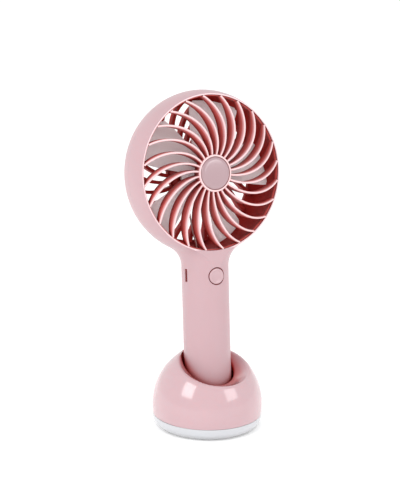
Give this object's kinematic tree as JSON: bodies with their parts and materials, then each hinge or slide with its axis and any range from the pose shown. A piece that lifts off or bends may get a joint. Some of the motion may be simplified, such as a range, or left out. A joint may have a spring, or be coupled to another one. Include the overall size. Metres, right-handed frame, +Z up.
{
  "type": "handheld electric fan",
  "caption": "Handheld electric fan: round head with spiral grille, tubular battery handle, and a weighted dome base that it stands in.",
  "frame": {"origin": "on the floor, at the centre of the round base", "axes": "+Z up, the fan blows towards -Y, +X to the right of someone facing the grille; the handle leans 4.64 degrees back towards +Y"},
  "size_m": [0.1012, 0.07, 0.2097],
  "materials": {
    "shell_pink": "satin-gloss moulded ABS",
    "base_pink": "high-gloss moulded ABS",
    "cap_pink": "polished ABS",
    "impeller_white": "translucent milky polypropylene",
    "tray_white": "glossy white ABS",
    "button_pink": "satin moulded ABS",
    "pad_rubber": "matt foam rubber",
    "screw_steel": "zinc-plated steel",
    "ballast_steel": "plain turned steel",
    "motor_steel": "nickel-plated drawn steel",
    "shaft_steel": "ground steel",
    "bronze": "sintered bronze",
    "magnet": "sintered ferrite",
    "armature_steel": "stacked laminations",
    "endcap_nylon": "natural nylon",
    "terminal_brass": "stamped brass",
    "cell_wrap": "shrink wrap",
    "nickel": "nickel strip",
    "board_green": "solder mask",
    "chip_black": "moulded epoxy",
    "usb_steel": "stamped steel",
    "switch_black": "moulded nylon",
    "lead_red": "PVC insulation",
    "lead_black": "PVC insulation",
    "lead_white": "PVC insulation"
  },
  "bodies": {
    "base": {"base_dome": "base_pink", "base_tray": "tray_white", "ballast_ring": "ballast_steel", "base_screws": "screw_steel", "foot_pad": "pad_rubber"},
    "fan": {"front_shell": "shell_pink", "rear_shell": "shell_pink", "front_grille": "shell_pink", "hub_cap": "cap_pink", "shell_screws": "screw_steel", "motor_can": "motor_steel", "motor_endcap": "endcap_nylon", "motor_magnet": "magnet", "motor_bushes": "bronze", "motor_terminals": "terminal_brass", "motor_screws": "screw_steel", "battery_cell": "cell_wrap", "battery_tabs": "nickel", "circuit_board": "board_green", "board_parts": "chip_black", "usb_receptacle": "usb_steel", "tact_switch": "switch_black", "battery_lead_red": "lead_red", "battery_lead_black": "lead_black", "motor_lead_red": "lead_red", "motor_lead_white": "lead_white"},
    "rotor": {"impeller": "impeller_white", "motor_shaft": "shaft_steel", "motor_armature": "armature_steel"},
    "button": {"power_button": "button_pink", "switch_plunger": "switch_black"}
  },
  "joints": [
    {"name": "fan_lift", "type": "slide", "parent": "base", "child": "fan", "axis": [0, 0.0809, 0.9967], "range_m": [0, 0.05]},
    {"name": "rotor_spin", "type": "hinge", "parent": "fan", "child": "rotor", "pos_m": [0, 0.01001, 0.15908], "axis": [0, -0.9967, 0.0809], "continuous": true},
    {"name": "button_press", "type": "slide", "parent": "fan", "child": "button", "axis": [0, 0.9967, -0.0809], "range_m": [0, 0.0007], "stiffness_N_per_m": 3000, "springref_m": -0.0003}
  ]
}
